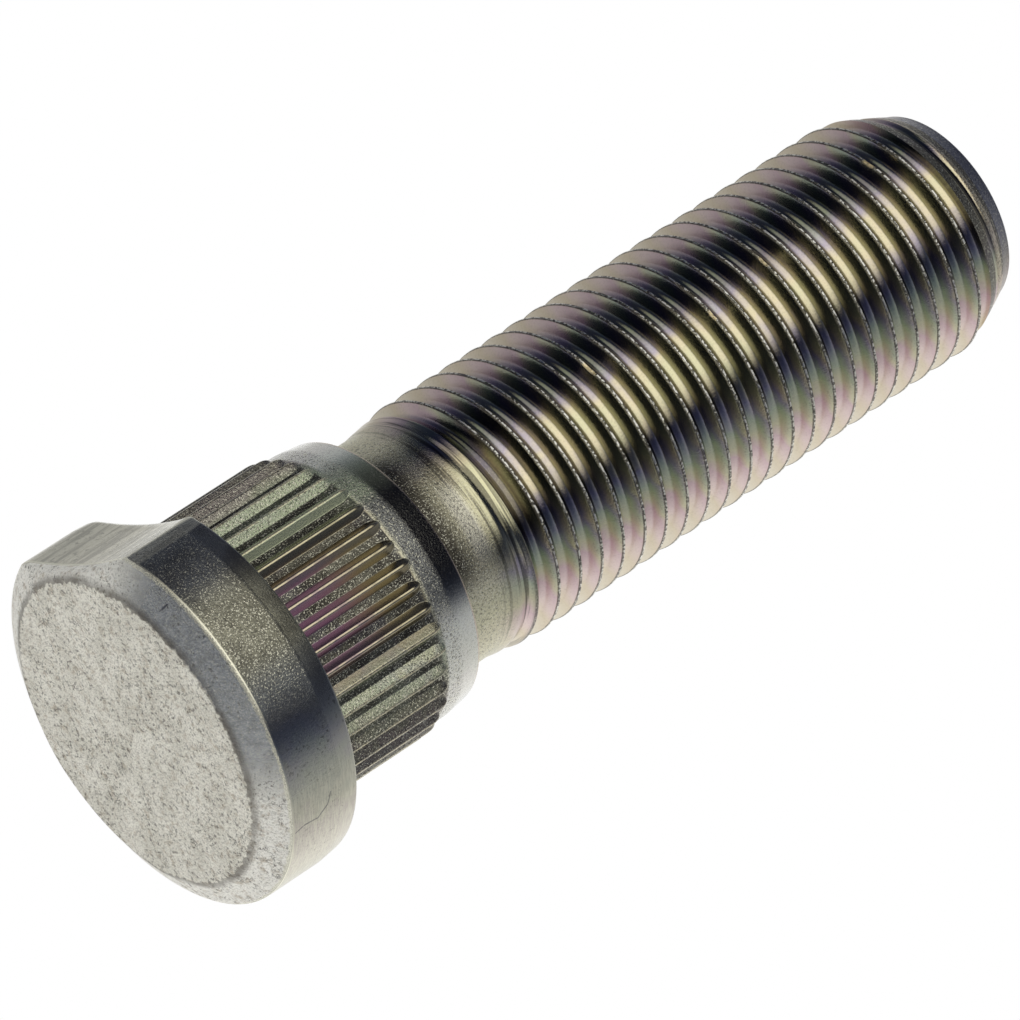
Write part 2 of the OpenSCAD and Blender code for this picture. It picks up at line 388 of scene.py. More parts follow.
# Zinc plate with a thin clear film, which tints it yellow, pink, violet and green by its thickness
print("stage: finish")
finish = {
    # clean plate, tinted plate, then marks and wear, and colours of painted light and shade
    "faceZinc": (0.97, 0.95, 0.86), "facePatch": (0.84, 0.82, 0.73), "paleBevel": (1.0, 0.99, 0.93),
    "bevelZinc": (0.60, 0.62, 0.63), "sideZinc": (0.62, 0.62, 0.55), "bandDarkReflection": (0.28, 0.29, 0.29),
    "silver": (0.86, 0.87, 0.84), "bright": (0.86, 0.85, 0.72), "paintedGlint": (1.0, 0.98, 0.9),
    "neck": (0.45, 0.43, 0.34), "paleNeck": (0.80, 0.78, 0.56), "darkSide": (0.20, 0.20, 0.18),
    "navyShade": (0.14, 0.17, 0.24), "olive": (0.60, 0.59, 0.44), "green": (0.62, 0.72, 0.50),
    "gold": (0.86, 0.78, 0.55), "tan": (0.72, 0.62, 0.47), "navyReflection": (0.22, 0.23, 0.30),
    "flank": (0.33, 0.28, 0.18), "violet": (0.34, 0.21, 0.31), "endHighlight": (0.80, 0.66, 0.52),
    "smear": (0.95, 0.80, 0.48), "stain": (0.46, 0.38, 0.27), "pit": (0.10, 0.09, 0.07),
    # the first colour below serves dirt, and painted shade on the thread
    "dirtAndShade": (0.05, 0.045, 0.04), "rim": (0.22, 0.20, 0.17), "scratch": (0.13, 0.13, 0.16),
    "crestWear": (0.13, 0.12, 0.11),
    "thinnest": -17.0,  # azimuth where the film is thinnest
    "film": [
        (0.00, (0.72, 0.70, 0.48)), (0.07, (0.77, 0.69, 0.50)), (0.14, (0.52, 0.47, 0.58)),
        (0.24, (0.56, 0.63, 0.50)), (0.36, (0.70, 0.68, 0.50)), (0.46, (0.72, 0.56, 0.60)),
        (0.62, (0.76, 0.63, 0.62)), (0.80, (0.70, 0.62, 0.49)), (1.00, (0.72, 0.67, 0.56)),
    ],
    # scratches: from and to, each as radius, azimuth and height, and the width
    "bevelScratch": [((8.1, -47.6, 0.03), (9.9, -43.2, 0.78), 0.09)],
    "sideScratch": [
        ((10.4, 30.7, 3.7), (10.4, 34.5, 3.45), 0.05), ((10.4, 34.5, 3.45), (10.4, 37.2, 2.8), 0.07),
        ((10.4, 37.2, 2.8), (10.4, 36.6, 1.9), 0.06), ((10.4, 36.6, 1.9), (10.4, 37.5, 1.3), 0.05),
    ],
}


# A node with its settings, its inputs set or linked by name or number
def put(tree, kind, inputs=None, **settings):
    made = tree.nodes.new(kind)
    for key, value in settings.items():
        setattr(made, key, value)
    for key, value in (inputs or {}).items():
        socket = made.inputs[key] if isinstance(key, int) else [
            s for s in made.inputs if s.name == key and s.enabled][0]
        if isinstance(value, bpy.types.NodeSocket):
            tree.links.new(value, socket)
        elif socket.type == "RGBA" and len(value) == 3:
            socket.default_value = (*value, 1)
        else:
            socket.default_value = value
    return made


def out(made, name=None):
    return [s for s in made.outputs if s.enabled and name in (None, s.name)][0]


def maths(tree, operation, *values, clamp=False):
    return out(put(tree, "ShaderNodeMath", dict(enumerate(values)), operation=operation, use_clamp=clamp))


def product(tree, *values):
    return reduce(lambda a, b: maths(tree, "MULTIPLY", a, b), values)


def most(tree, *values):
    return reduce(lambda a, b: maths(tree, "MAXIMUM", a, b), values)


def flip(tree, value):  # 1 becomes 0 and 0 becomes 1
    return maths(tree, "SUBTRACT", 1.0, value)


def scaled(tree, value, times, plus):
    return maths(tree, "MULTIPLY_ADD", value, times, plus)


def vectors(tree, operation, *values, result=None):
    return out(put(tree, "ShaderNodeVectorMath", dict(enumerate(values)), operation=operation), result)


def blendColours(tree, factor, a, b):
    return out(put(tree, "ShaderNodeMix", {"Factor": factor, "A": a, "B": b}, data_type="RGBA"))


# 0 to 1 as a value goes from low to high, eased at both ends
def ramp(tree, value, low, high):
    return out(put(tree, "ShaderNodeMapRange", {"Value": value, "From Min": low, "From Max": high},
                   interpolation_type="SMOOTHSTEP"))


def above(tree, length, low, high):  # the same for a length, between two in mm
    return ramp(tree, length, low * mm, high * mm)


# Noise with grains about size mm across. A stretch under 1 draws them out along that axis
def noise(tree, position, size, detail=2.0, rough=0.5, stretch=(1, 1, 1)):
    mapped = put(tree, "ShaderNodeMapping", {"Vector": position, "Scale": [s / (size * mm) for s in stretch]})
    return out(put(tree, "ShaderNodeTexNoise", {"Vector": out(mapped), "Scale": 1.0, "Detail": detail,
                                                "Roughness": rough}), "Fac")


def spots(tree, position, size, detail, rough, low, high, stretch=(1, 1, 1)):
    return ramp(tree, noise(tree, position, size, detail, rough, stretch), low, high)


def direction(azimuth, elevation=0.0):
    a, e = azimuth * deg, elevation * deg
    return (np.cos(a) * np.cos(e), np.sin(a) * np.cos(e), np.sin(e))


def roundPlace(radius, azimuth, height):
    return (radius * mm * np.cos(azimuth * deg), radius * mm * np.sin(azimuth * deg), height * mm)


# Cosine of the angle between a point's side of the stud and an azimuth
def facing(tree, position, azimuth):
    outward = vectors(tree, "NORMALIZE", vectors(tree, "MULTIPLY", position, (1, 1, 0)))
    return vectors(tree, "DOT_PRODUCT", outward, direction(azimuth), result="Value")


# 1 within so many degrees of an azimuth, fading to 0
def onSide(tree, position, azimuth, full, none):
    return ramp(tree, facing(tree, position, azimuth), np.cos(none * deg), np.cos(full * deg))


def colourRamp(tree, value, rows):  # rows of place and colour
    made = put(tree, "ShaderNodeValToRGB", {"Fac": value})
    stops = made.color_ramp.elements
    for place, colour in rows[2:]:
        stops.new(place)
    for stop, (place, colour) in zip(stops, rows):
        stop.position, stop.color = place, (*colour, 1)
    return out(made, "Color")


def startGroup(name, inputs, outputs):
    group = bpy.data.node_groups.new(name, "ShaderNodeTree")
    for socketName, kind, value in inputs:
        socket = group.interface.new_socket(socketName, in_out="INPUT", socket_type="NodeSocket" + kind)
        if value is not None:
            socket.default_value = value
    for socketName, kind in outputs:
        group.interface.new_socket(socketName, in_out="OUTPUT", socket_type="NodeSocket" + kind)
    return group, group.nodes.new("NodeGroupInput"), group.nodes.new("NodeGroupOutput")


# Noise is its size in mm, detail and roughness. Spots add the noise where they start and are full, and a
# stretch where they have one
effects = {
    "grains": (0.12, 3, 0.75), "gaps": (0.36, 0.5), "flecks": (0.09, 1, 0.6, 0.56, 0.66),
    "filmByAngle": 1.05, "filmSlow": (4.0, 2, 0.5), "filmStreaks": (0.9, 1, 0.5), "streakPart": 0.4,
    "smallPits": (0.2, 2, 0.6, 0.57, 0.68), "pitted": (1.5, 2, 0.6, 0.36, 0.62),
    "crooked": (0.9, 3, 0.6), "lineWidth": 0.014, "lined": (1.1, 1, 0.5, 0.52, 0.64),
    "patches": (2.4, 3, 0.6, 0.38, 0.62), "ragged": (0.12, 1, 0.5), "scuffCore": 0.3,
}


# The plate's crystals: their height, the bright flecks on top and the dark gaps between them
def makeGrain():
    group, given, result = startGroup("plateGrain", [("Position", "Vector", None)],
                                      [("Height", "Float"), ("Flecks", "Float"), ("Gaps", "Float")])
    position = given.outputs["Position"]
    grains = noise(group, position, *effects["grains"])
    group.links.new(grains, result.inputs["Height"])
    group.links.new(spots(group, position, *effects["flecks"]), result.inputs["Flecks"])
    group.links.new(flip(group, ramp(group, grains, *effects["gaps"])), result.inputs["Gaps"])
    return group


# Colour of the film: thinnest on one side of the stud, thicker round both ways, thicker by Extra,
# and uneven by Waver
def makeFilm():
    group, given, result = startGroup(
        "filmTint", [("Position", "Vector", None), ("Waver", "Float", 0.2), ("Extra", "Float", 0.0)],
        [("Colour", "Color")])
    position = given.outputs["Position"]
    away = flip(group, facing(group, position, finish["thinnest"]))
    slow = maths(group, "SUBTRACT", noise(group, position, *effects["filmSlow"]), 0.5)
    streak = maths(group, "SUBTRACT", noise(group, position, *effects["filmStreaks"]), 0.5)
    uneven = scaled(group, streak, effects["streakPart"], slow)
    thickness = scaled(group, away, effects["filmByAngle"], product(group, uneven, given.outputs["Waver"]))
    thickness = maths(group, "ADD", thickness, given.outputs["Extra"])
    group.links.new(colourRamp(group, thickness, finish["film"]), result.inputs["Colour"])
    return group


# Small dark pits, thin crooked lines, and soft patches
def makePits():
    group, given, result = startGroup("pitsAndLines", [("Position", "Vector", None)],
                                      [("Pits", "Float"), ("Lines", "Float"), ("Patches", "Float")])
    position = given.outputs["Position"]
    small, pitted, lined, patches = (
        spots(group, position, *effects[name]) for name in ("smallPits", "pitted", "lined", "patches"))
    crooked = maths(group, "SUBTRACT", noise(group, position, *effects["crooked"]), 0.5)
    line = flip(group, ramp(group, maths(group, "ABSOLUTE", crooked), 0.0, effects["lineWidth"]))
    group.links.new(product(group, small, pitted), result.inputs["Pits"])
    group.links.new(product(group, line, lined), result.inputs["Lines"])
    group.links.new(patches, result.inputs["Patches"])
    return group


# A scratch: 1 within Width of the straight line between two places, with ragged edges
def makeScuff():
    group, given, result = startGroup(
        "scuff", [("Position", "Vector", None), ("From", "Vector", None), ("To", "Vector", None),
                  ("Width", "Float", 0.0001)], [("Mask", "Float")])
    position, a, b, width = (given.outputs[k] for k in ("Position", "From", "To", "Width"))
    along = vectors(group, "SUBTRACT", b, a)
    off = vectors(group, "SUBTRACT", position, a)
    share = maths(group, "DIVIDE", vectors(group, "DOT_PRODUCT", off, along, result="Value"),
                  vectors(group, "DOT_PRODUCT", along, along, result="Value"), clamp=True)
    nearest = put(group, "ShaderNodeVectorMath", {0: along, "Scale": share}, operation="SCALE")
    far = vectors(group, "DISTANCE", off, out(nearest), result="Value")
    far = product(group, far, maths(group, "ADD", noise(group, position, *effects["ragged"]), 0.5))
    core = product(group, width, effects["scuffCore"])
    group.links.new(flip(group, ramp(group, far, core, width)), result.inputs["Mask"])
    return group


grainGroup, filmGroup, pitsGroup, scuffGroup = makeGrain(), makeFilm(), makePits(), makeScuff()


def grouped(tree, position, group, **values):  # the outputs of a group that is put into a material
    return put(tree, "ShaderNodeGroup", {"Position": position, **values}, node_tree=group).outputs


def startMaterial(name):
    material = bpy.data.materials.new(name)
    material.use_nodes = True
    tree = material.node_tree
    position = out(put(tree, "ShaderNodeTexCoord"), "Object")
    mesh.materials.append(material)
    return tree, tree.nodes["Principled BSDF"].inputs, position, grouped(tree, position, grainGroup)


def attribute(tree, name):
    return out(put(tree, "ShaderNodeAttribute", attribute_name=name), "Fac")


def coordinate(tree, position, axis):
    return out(put(tree, "ShaderNodeSeparateXYZ", {0: position}), axis)


def scuffs(tree, position, lines):
    return most(tree, *[
        grouped(tree, position, scuffGroup, From=roundPlace(*a), To=roundPlace(*b), Width=width * mm)["Mask"]
        for a, b, width in lines])


# Each plate has a dictionary. A mask of two numbers is 0 at the first height in mm and 1 at the second. One
# of three is a side: its azimuth, the degrees round it that are full, and where it ends. More are spots
def masks(tree, position, height, rows):
    made = {}
    for name, row in rows.items():
        if len(row) == 2:
            made[name] = above(tree, height, *row)
        elif len(row) == 3:
            made[name] = onSide(tree, position, *row)
        else:
            made[name] = spots(tree, position, *row)
    return made


# Layers of colour from the bottom up, in rows of a mask, how much of it covers, and its colour
def layered(tree, colour, on, rows):
    for mask, part, name in rows:
        factor = on[mask] if part == 1 else product(tree, on[mask], part)
        colour = blendColours(tree, factor, colour, finish[name])
    return colour


# The grain on a colour: darker in the gaps, brighter on the flecks, and bumped, all by the grain's share
def plate(tree, shader, grain, colour, share, gaps, flecks, bump):
    on = {"gaps": product(tree, grain["Gaps"], share), "flecks": product(tree, grain["Flecks"], share)}
    colour = layered(tree, colour, on, [("gaps", gaps, "dirtAndShade"), ("flecks", flecks, "bright")])
    tree.links.new(colour, shader["Base Color"])
    raised = put(tree, "ShaderNodeBump", {"Height": product(tree, grain["Height"], share),
                                          "Distance": bump * mm, "Strength": 1.0})
    tree.links.new(out(raised), shader["Normal"])


# The face is dull and stained, and so is its bevel on the pale side. The rest of the bevel is smooth. Here
# and below, a pair outside the masks is a factor and what is added to it
faceLook = {
    "waver": (0.3, 2, 0.6), "waverSize": 0.16,  # of the heights, in mm
    "masks": {
        "bevel": (0.03, 0.07), "rimStart": (0.01, 0.03), "rimEnd": (0.3, 0.08), "edge": (0.99, 1.05),
        "smoothSide": (-20, 25, 50), "stains": (0.55, 4, 0.75, 0.5, 0.68),
        "clouds": (0.6, 3, 0.7, 0.42, 0.62),
    },
    "dull": [("patches", 1, "facePatch"), ("pale", 0.85, "paleBevel"), ("stains", 0.62, "stain"),
             ("marks", 1, "pit")],
    "smooth": [("pits", 0.6, "pit"), ("clouds", 0.22, "darkSide"), ("flecks", 0.4, "bright"),
               ("scratch", 0.85, "scratch")],
    # a painted highlight along the bevel's outer edge, then the dark rim line
    "edges": [("edge", 1, "bright"), ("rim", 0.85, "rim")],
    "rimBreak": (0.5, 0.5), "pitMarks": 0.8, "lineMarks": 0.9, "gapMarks": 0.3, "markDepth": 0.9,
    "relief": (-0.6, 1.0), "bump": 0.08, "metal": (0.5, 0.5), "rough": (-0.25, 0.5),
}


def facePlate():
    look = faceLook
    tree, shader, position, grain = startMaterial("facePlate")
    pits = grouped(tree, position, pitsGroup)
    waver = maths(tree, "SUBTRACT", noise(tree, position, *look["waver"]), 0.5)
    height = scaled(tree, waver, look["waverSize"] * mm, coordinate(tree, position, "Z"))
    on = masks(tree, position, height, look["masks"])
    smooth = product(tree, on["bevel"], on["smoothSide"])
    on["patches"], on["pits"], on["flecks"] = pits["Patches"], pits["Pits"], grain["Flecks"]
    on["pale"] = product(tree, on["bevel"], flip(tree, smooth))
    on["rim"] = product(tree, on["rimStart"], on["rimEnd"], scaled(tree, pits["Patches"], *look["rimBreak"]))
    on["marks"] = most(tree, product(tree, pits["Pits"], look["pitMarks"]),
                       product(tree, pits["Lines"], look["lineMarks"]),
                       product(tree, grain["Gaps"], look["gapMarks"]))
    on["scratch"] = scuffs(tree, position, finish["bevelScratch"])
    dull = layered(tree, finish["faceZinc"], on, look["dull"])
    polished = layered(tree, finish["bevelZinc"], on, look["smooth"])
    colour = layered(tree, blendColours(tree, smooth, dull, polished), on, look["edges"])
    tree.links.new(colour, shader["Base Color"])
    tree.links.new(scaled(tree, smooth, *look["metal"]), shader["Metallic"])
    tree.links.new(scaled(tree, most(tree, smooth, on["edge"]), *look["rough"]), shader["Roughness"])
    sunk = product(tree, most(tree, on["marks"], on["scratch"]), look["markDepth"])
    relief = product(tree, maths(tree, "SUBTRACT", grain["Height"], sunk),
                     scaled(tree, smooth, *look["relief"]))
    raised = put(tree, "ShaderNodeBump", {"Height": relief, "Distance": look["bump"] * mm})
    tree.links.new(out(raised), shader["Normal"])


# The head's side is coarse, with painted shade in dark and navy on that side and a navy painted shadow patch,
# sparkles in the middle and is brushed on one side. The trimmed flat is bright. grain is its share, and what plate
# gets is its gaps, flecks and bump in mm
headLook = {
    "film": 0.3, "waver": 0.6, "flat": (-8.75, -8.85),  # where the flat starts and is full along Y
    "masks": {
        "draft": (head["sideTop"] - 0.1, head["sideTop"] + 0.15), "edge": (1.26, 1.2),
        "coarse": (-33, 21, 40), "sparkle": (-22, 6, 22), "shadowPatch": (0, 6, 17), "brushed": (80, 50, 66),
        "lines": (0.9, 2, 0.6, 0.4, 0.62, (1, 1, 14)), "drawn": (0.45, 3, 0.7, 0.4, 0.62, (1, 1, 0.07)),
        "blotches": (0.5, 4, 0.75, 0.5, 0.66),
    },
    "layers": [
        # painted shade: the coarse side darkened, and navy on its sides and in a patch
        ("coarse", 0.8, "darkSide"), ("shadedSides", 0.55, "navyShade"), ("sparkle", 0.5, "olive"),
        ("shadowPatch", 0.5, "navyShade"), ("dirty", 1, "dirtAndShade"), ("brushing", 1, "bright"), ("flat", 0.85, "bright"),
        # the last layer, edge, is a painted highlight on the edge by the bevel
        ("drawnFlat", 1, "darkSide"), ("scratch", 0.7, "scratch"), ("edge", 1, "bright"),
    ],
    "pitPart": 0.5, "dirtPart": 0.45, "linePart": (0.6, 0.15), "drawnPart": 0.5, "blotchPart": 0.6,
    "grain": (0.4, 0.2), "sparkleGrain": 0.4, "draftLess": 0.75, "plate": (0.7, 1.0, 0.045),
    "metal": (-0.12, 1.0), "rough": (0.1, 0.2),
}


def headPlate():
    look = headLook
    tree, shader, position, grain = startMaterial("headPlate")
    film = grouped(tree, position, filmGroup, Waver=look["waver"])["Colour"]
    pits = grouped(tree, position, pitsGroup)
    on = masks(tree, position, coordinate(tree, position, "Z"), look["masks"])
    # painted shade in navy on the coarse sides, apart from the sparkling middle
    on["shadedSides"] = product(tree, on["coarse"], flip(tree, on["sparkle"]))
    on["dirty"] = most(tree, product(tree, pits["Pits"], look["pitPart"]),
                       product(tree, pits["Patches"], on["coarse"], look["dirtPart"]))
    on["brushing"] = product(tree, on["brushed"], scaled(tree, on["lines"], *look["linePart"]))
    on["flat"] = above(tree, coordinate(tree, position, "Y"), *look["flat"])
    on["drawnFlat"] = product(tree, on["flat"], most(tree, product(tree, on["drawn"], look["drawnPart"]),
                                                     product(tree, on["blotches"], look["blotchPart"])))
    on["scratch"] = scuffs(tree, position, finish["sideScratch"])
    colour = blendColours(tree, look["film"], finish["sideZinc"], film)
    colour = layered(tree, colour, on, look["layers"])
    share = maths(tree, "ADD", scaled(tree, on["coarse"], *look["grain"]),
                  product(tree, on["sparkle"], look["sparkleGrain"]))
    less = most(tree, product(tree, on["draft"], look["draftLess"]), on["edge"])
    plate(tree, shader, grain, colour, product(tree, share, flip(tree, less)), *look["plate"])
    tree.links.new(scaled(tree, on["coarse"], *look["metal"]), shader["Metallic"])
    tree.links.new(scaled(tree, on["brushed"], *look["rough"]), shader["Roughness"])


# The collar is brown and violet in the middle, green to the sides with two darker stripes, with darker floors
# between its ridges and gold tops. The band has a painted dark reflection in the middle and a painted silver sheen
# round it, and its rounded end a painted highlight
collarLook = {
    "film": 0.45, "waver": 1.0,
    "masks": {
        "band": (13.95, 14.2), "taper": (collar["taperStart"] - 0.3, collar["taperStart"] + 0.2),
        "early": (13.75, 14.0), "low": (12.2, 8.8), "floorRise": (13.2, 13.6), "underBand": (14.3, 14.1),
        # the first of these: a painted highlight on the collar's rounded end
        "endHighlight": (16.22, 16.28), "seat": (6.25, 5.95),
        "middle": (-20, 24, 40), "violetSide": (-13, 13, 25), "darkBand": (-26, 26, 46),
        "nearBand": (-27, 26, 44), "darkStripeRight": (45, 8, 20), "darkStripeLeft": (-84, 9, 20),
        "greenLeft": (-59, 10, 20), "greenRight": (25, 8, 16), "darkTaperSide": (-27, 17, 38),
        "smearSide": (-28, 12, 22),
        "worn": (0.5, 2, 0.6, 0.35, 0.55, (1, 1, 0.5)), "smears": (0.5, 1, 0.5, 0.42, 0.52),
    },
    "layers": [
        ("raised", 1, "bandDarkReflection"), ("green", 1, "green"), ("greenRight", 0.4, "green"),
        ("silver", 1, "silver"), ("darkening", 1, "dirtAndShade"), ("endHighlight", 0.7, "endHighlight"), ("gold", 1, "gold"),
        ("smear", 1, "smear"),
    ],
    "brownPart": 0.85, "greenPart": 0.7, "silverPart": 0.8, "floorPart": (0.25, 0.7),
    "darkStripeRightPart": 0.65, "darkStripeLeftPart": 0.4, "taperPart": 0.7, "goldPart": (0.55, 0.2),
    "smoothGrain": (-0.9, 1.0), "taperGrain": (-0.7, 1.0), "plate": (0.75, 0.85, 0.04),
    "greenDull": 0.2, "silverDull": 0.3, "rough": (-0.08, 0.24),
}


def collarPlate():
    look = collarLook
    tree, shader, position, grain = startMaterial("collarPlate")
    film = grouped(tree, position, filmGroup, Waver=look["waver"])["Colour"]
    pits = grouped(tree, position, pitsGroup)
    floor, crest = attribute(tree, "floor"), attribute(tree, "crest")
    on = masks(tree, position, coordinate(tree, position, "Z"), look["masks"])
    smooth = product(tree, on["middle"], flip(tree, most(tree, floor, on["early"])))
    violet = product(tree, on["violetSide"], on["low"])
    brown = blendColours(tree, violet, finish["flank"], finish["violet"])
    colour = blendColours(tree, look["film"], finish["sideZinc"], film)
    colour = blendColours(tree, product(tree, smooth, look["brownPart"]), colour, brown)
    # painted dark reflection on the band and the rising floors, in the middle of the near side
    raised = most(tree, on["band"], product(tree, floor, on["floorRise"]))
    on["raised"] = product(tree, raised, on["darkBand"])
    on["green"] = product(tree, on["greenLeft"], look["greenPart"])
    # painted silver sheen on the band round the far sides, made bright by less metal
    on["silver"] = product(tree, on["band"], flip(tree, on["nearBand"]), look["silverPart"])
    # darker floors between the ridges, two darker stripes at the sides, and a darker taper on the near side
    dirty = product(tree, floor, scaled(tree, pits["Patches"], *look["floorPart"]), on["underBand"])
    dull = most(tree, product(tree, on["darkStripeRight"], look["darkStripeRightPart"]),
                product(tree, on["darkStripeLeft"], look["darkStripeLeftPart"]))
    on["darkening"] = most(tree, dirty, product(tree, dull, flip(tree, on["band"])),
                      product(tree, on["taper"], on["darkTaperSide"], look["taperPart"]))
    on["gold"] = product(tree, crest, scaled(tree, on["worn"], *look["goldPart"]))
    on["smear"] = product(tree, on["seat"], on["smearSide"], on["smears"])
    colour = layered(tree, colour, on, look["layers"])
    share = product(tree, scaled(tree, smooth, *look["smoothGrain"]),
                    scaled(tree, on["taper"], *look["taperGrain"]))
    plate(tree, shader, grain, colour, share, *look["plate"])
    dim = most(tree, product(tree, on["green"], look["greenDull"]),
               product(tree, on["silver"], look["silverDull"]))
    tree.links.new(flip(tree, dim), shader["Metallic"])
    tree.links.new(scaled(tree, on["taper"], *look["rough"]), shader["Roughness"])


# The neck is dull, with a painted highlight before the thread and painted light on its far side. The thread's flanks
# are smooth under the film, with painted shade in the grooves and by the collar, its worn crests are dark with
# painted glints where they face the light, and the chamfer is tan with a painted dark reflection at its end
threadLook = {
    "waver": 0.3, "extra": (0.14, -0.084),  # the film by the depth in the thread
    "flankTop": (6.35, 6.75),  # radii where it starts and is full
    "worn": (0.1, 0.5), "mostWorn": (0.6, 1.0),  # the crest attribute where they start and are full
    "masks": {
        "neck": (20.8, 18.3), "tip": (54.55, 54.7), "end": (55.15, 55.35), "endRound": (55.9, 56.15),
        "endFace": (thread["length"] - 0.08, thread["length"] - 0.02), "underChamfer": (53.2, 52.4),
        "ringStart": (18.4, 19.2), "ringEnd": (21.4, 20.6), "foot": (18.5, 17.2),
        "grooveStart": (21.4, 21.7), "grooveEnd": (22.8, 22.5),
        "highlightStart": (18.1, 18.6), "highlightEnd": (19.5, 19.1),
        "lit": (-25, 35, 52), "near": (-27, 24, 44), "highlightSide": (-15, 6, 24), "speckledSide": (20, 9, 22),
        "darkEnd": (-30, 40, 70), "glintSide": (-24, 10, 34),
        "grains": (0.18, 1, 0.6, 0.42, 0.56), "fineRings": (0.22, 2, 0.7, 0.5, 0.6, (0.03, 0.03, 1)),
    },
    "layers": [
        ("neck", 0.75, "neck"), ("tip", 0.7, "tan"), ("navyReflection", 1, "navyReflection"), ("endFace", 1, "neck"),
        ("rings", 0.7, "dirtAndShade"), ("farNeck", 0.7, "paleNeck"), ("paintedHighlight", 0.5, "paintedGlint"), ("shade", 1, "dirtAndShade"),
        ("floor", 0.9, "dirtAndShade"), ("crest", 0.85, "crestWear"), ("crestGlints", 1, "paintedGlint"), ("nicked", 1, "smear"),
    ],
    "nickReach": 0.35, "nickWidth": 0.3, "navyPart": (0.45, 0.5), "footPart": 0.9, "groovePart": 0.65,
    "leastGrain": 0.16, "speckledGrain": 0.4, "endGrain": (-0.35, 1.0), "glintGrain": (-0.8, 1.0),
    "plate": (0.7, 0.7, 0.035), "glintDull": 0.65, "farNeckLight": 0.22,
    "rough": (-0.2, 0.3), "nickRough": 0.5, "endRough": 0.3, "grainRough": 0.27,
}


def threadPlate():
    look = threadLook
    tree, shader, position, grain = startMaterial("threadPlate")
    radius = vectors(tree, "LENGTH", vectors(tree, "MULTIPLY", position, (1, 1, 0)), result="Value")
    extra = scaled(tree, above(tree, radius, thread["crest"], thread["root"]), *look["extra"])
    film = grouped(tree, position, filmGroup, Waver=look["waver"], Extra=extra)["Colour"]
    on = masks(tree, position, coordinate(tree, position, "Z"), look["masks"])
    worn = attribute(tree, "crest")
    on["crest"] = ramp(tree, worn, *look["worn"])
    # painted glints on the most worn crests, up to the chamfer
    on["crestGlints"] = product(tree, ramp(tree, worn, *look["mostWorn"]), on["grains"], on["underChamfer"])
    # painted shade on the groove's side towards the head, on the lit side only
    on["floor"] = product(tree, attribute(tree, "floor"), on["lit"])
    nicks = []
    for azimuth, z, length, _ in thread["nicks"]:
        half = look["nickReach"] * length / thread["crest"] / deg
        nicks.append([(thread["crest"], azimuth + turn, z) for turn in (-half, half)] + [look["nickWidth"]])
    on["nicked"] = scuffs(tree, position, nicks)
    on["rings"] = product(tree, on["fineRings"], on["ringStart"], on["ringEnd"])
    # painted light: the neck paler and less metallic away from the near side, as if lit from the table
    on["farNeck"] = product(tree, on["neck"], flip(tree, on["near"]))
    # painted highlight on the neck just before the thread
    on["paintedHighlight"] = product(tree, on["highlightStart"], on["highlightSide"], on["highlightEnd"])
    # painted dark reflection at the chamfer's end, deepest on one side
    on["navyReflection"] = product(tree, on["end"], scaled(tree, on["darkEnd"], *look["navyPart"]))
    # painted shade near the collar's foot and where the first full groove starts, on the near side only
    on["shade"] = most(tree, product(tree, on["foot"], on["near"], look["footPart"]),
                       product(tree, on["grooveStart"], on["near"], on["grooveEnd"], look["groovePart"]))
    speckled = product(tree, on["speckledSide"], above(tree, radius, *look["flankTop"]),
                       look["speckledGrain"])
    tipGrain = product(tree, on["tip"], scaled(tree, on["end"], *look["endGrain"]))
    share = most(tree, on["crest"], on["neck"], tipGrain, look["leastGrain"], on["nicked"], speckled)
    share = product(tree, share, scaled(tree, on["crestGlints"], *look["glintGrain"]))
    plate(tree, shader, grain, layered(tree, film, on, look["layers"]), share, *look["plate"])
    # less metal makes the painted glints and the neck's painted paler far side bright
    dim = most(tree, product(tree, on["crestGlints"], on["glintSide"], look["glintDull"]),
               product(tree, on["farNeck"], look["farNeckLight"]))
    tree.links.new(flip(tree, dim), shader["Metallic"])
    rough = most(tree, scaled(tree, on["lit"], *look["rough"]),
                 product(tree, on["nicked"], look["nickRough"]),
                 product(tree, on["endRound"], look["endRough"]), product(tree, share, look["grainRough"]))
    tree.links.new(rough, shader["Roughness"])


for finished in (facePlate, headPlate, collarPlate, threadPlate):  # in the order of the faces' kinds
    finished()
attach(stud, "root")
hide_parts("wheel_stud")

print("stage: studio")
scene = bpy.context.scene
view = {
    "position": (462.43, -140.39, -252.70), "forward": (-0.82919, 0.25351, 0.49818),
    "up": (0.01639, -0.87982, 0.47500), "lens": 388.2, "sensor": 36.0,
}
cameraData = bpy.data.cameras.new("camera")
camera = bpy.data.objects.new("camera", cameraData)
scene.collection.objects.link(camera)
scene.camera = camera
forward, up = Vector(view["forward"]).normalized(), Vector(view["up"]).normalized()
right = forward.cross(up).normalized()
turn = Matrix((right, right.cross(forward), -forward)).transposed().to_4x4()
camera.matrix_world = Matrix.Translation(Vector(view["position"]) * mm) @ turn
cameraData.lens = view["lens"]
cameraData.sensor_width = view["sensor"]
cameraData.clip_start, cameraData.clip_end = 0.01, 10

